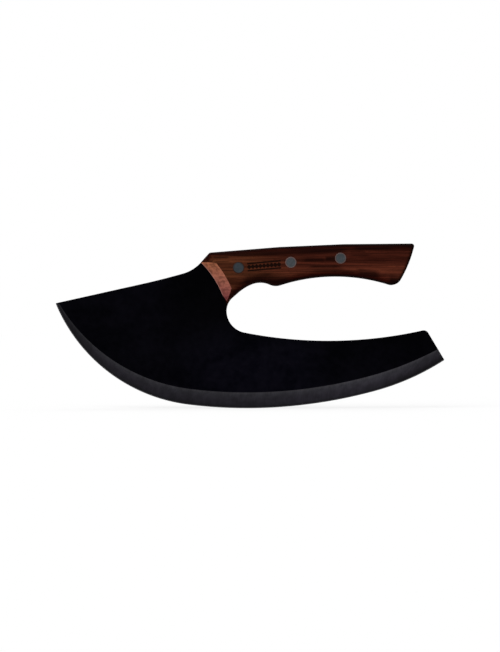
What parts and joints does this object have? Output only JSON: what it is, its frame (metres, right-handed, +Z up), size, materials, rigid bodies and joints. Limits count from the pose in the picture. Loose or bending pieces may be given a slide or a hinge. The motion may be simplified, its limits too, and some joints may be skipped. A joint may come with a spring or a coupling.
{
  "type": "cleaver",
  "caption": "Full-tang kitchen cleaver with a swept belly, a pointed tip ahead of the grip and a long heel under it, wooden scales and flush rivets.",
  "frame": {"origin": "middle of the sheet's thickness, halfway between tip and heel, at the height where the cutting edge touches a flat board", "axes": "+X from the tip to the butt, +Y to the right side of the tool, +Z up from the cutting edge to the handle"},
  "size_m": [0.2542, 0.0186, 0.1077],
  "materials": {
    "coated_steel": "matt black non-stick coat, with a ground dark grey bevel and a bare honed edge",
    "wood": "oiled dark red-brown hardwood, satin",
    "rivet": "dull, ground flush with the wood"
  },
  "bodies": {
    "root": {"blade": "coated_steel", "left_scale": "wood", "right_scale": "wood", "front_rivet_post": "rivet", "front_rivet_sleeve": "rivet", "middle_rivet_post": "rivet", "middle_rivet_sleeve": "rivet", "rear_rivet_post": "rivet", "rear_rivet_sleeve": "rivet"}
  },
  "joints": []
}
